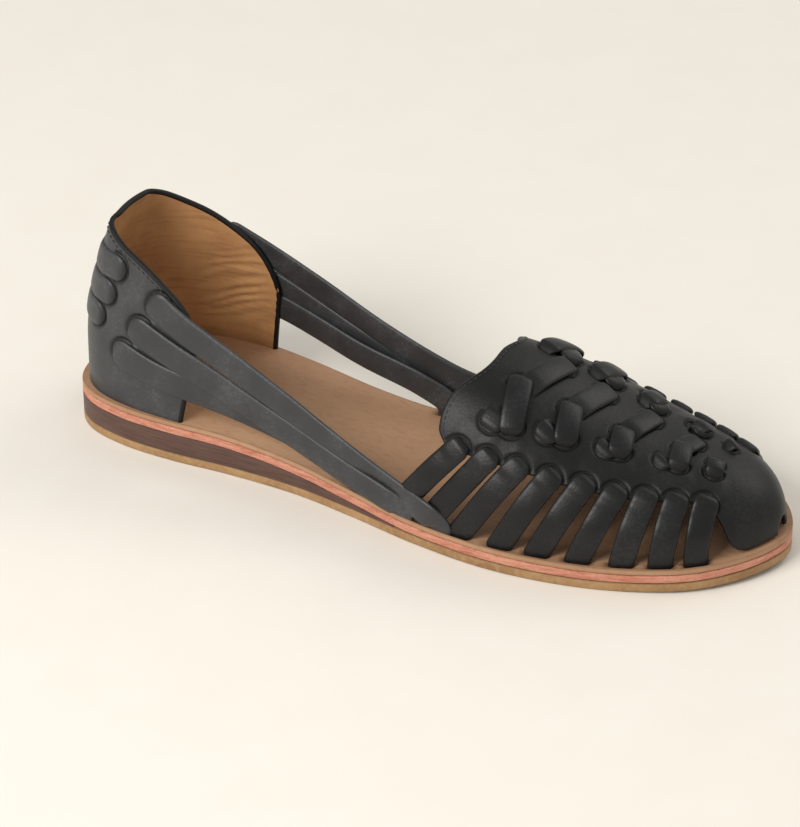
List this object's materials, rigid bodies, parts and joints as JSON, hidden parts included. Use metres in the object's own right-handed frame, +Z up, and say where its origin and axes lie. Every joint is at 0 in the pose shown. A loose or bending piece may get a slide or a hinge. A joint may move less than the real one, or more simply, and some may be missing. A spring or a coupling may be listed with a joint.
{
  "type": "huarache sandal",
  "caption": "Flat woven leather huarache for the right foot: braided vamp with a closed toe, straps beside the foot, closed heel counter, low wedge and rubber outsole.",
  "frame": {"origin": "middle of the shoe's box, on the floor that the outsole stands on", "axes": "+X from heel to toe, +Y to the inner side of the foot, +Z up"},
  "size_m": [0.262, 0.0889, 0.0811],
  "materials": {
    "outsole_rubber": "matt honey crepe rubber, slightly grained",
    "wedge_leather": "dark brown stacked leather, edge waxed",
    "midsole_leather": "pinkish natural leather, cut edge",
    "insole_leather": "tan vegetable-tanned leather, smooth and dull",
    "upper_leather": "black smooth leather with a soft sheen and a fine grain"
  },
  "bodies": {
    "root": {"outsole": "outsole_rubber", "heel_wedge": "wedge_leather", "midsole": "midsole_leather", "insole": "insole_leather", "upper": "upper_leather"}
  },
  "joints": []
}
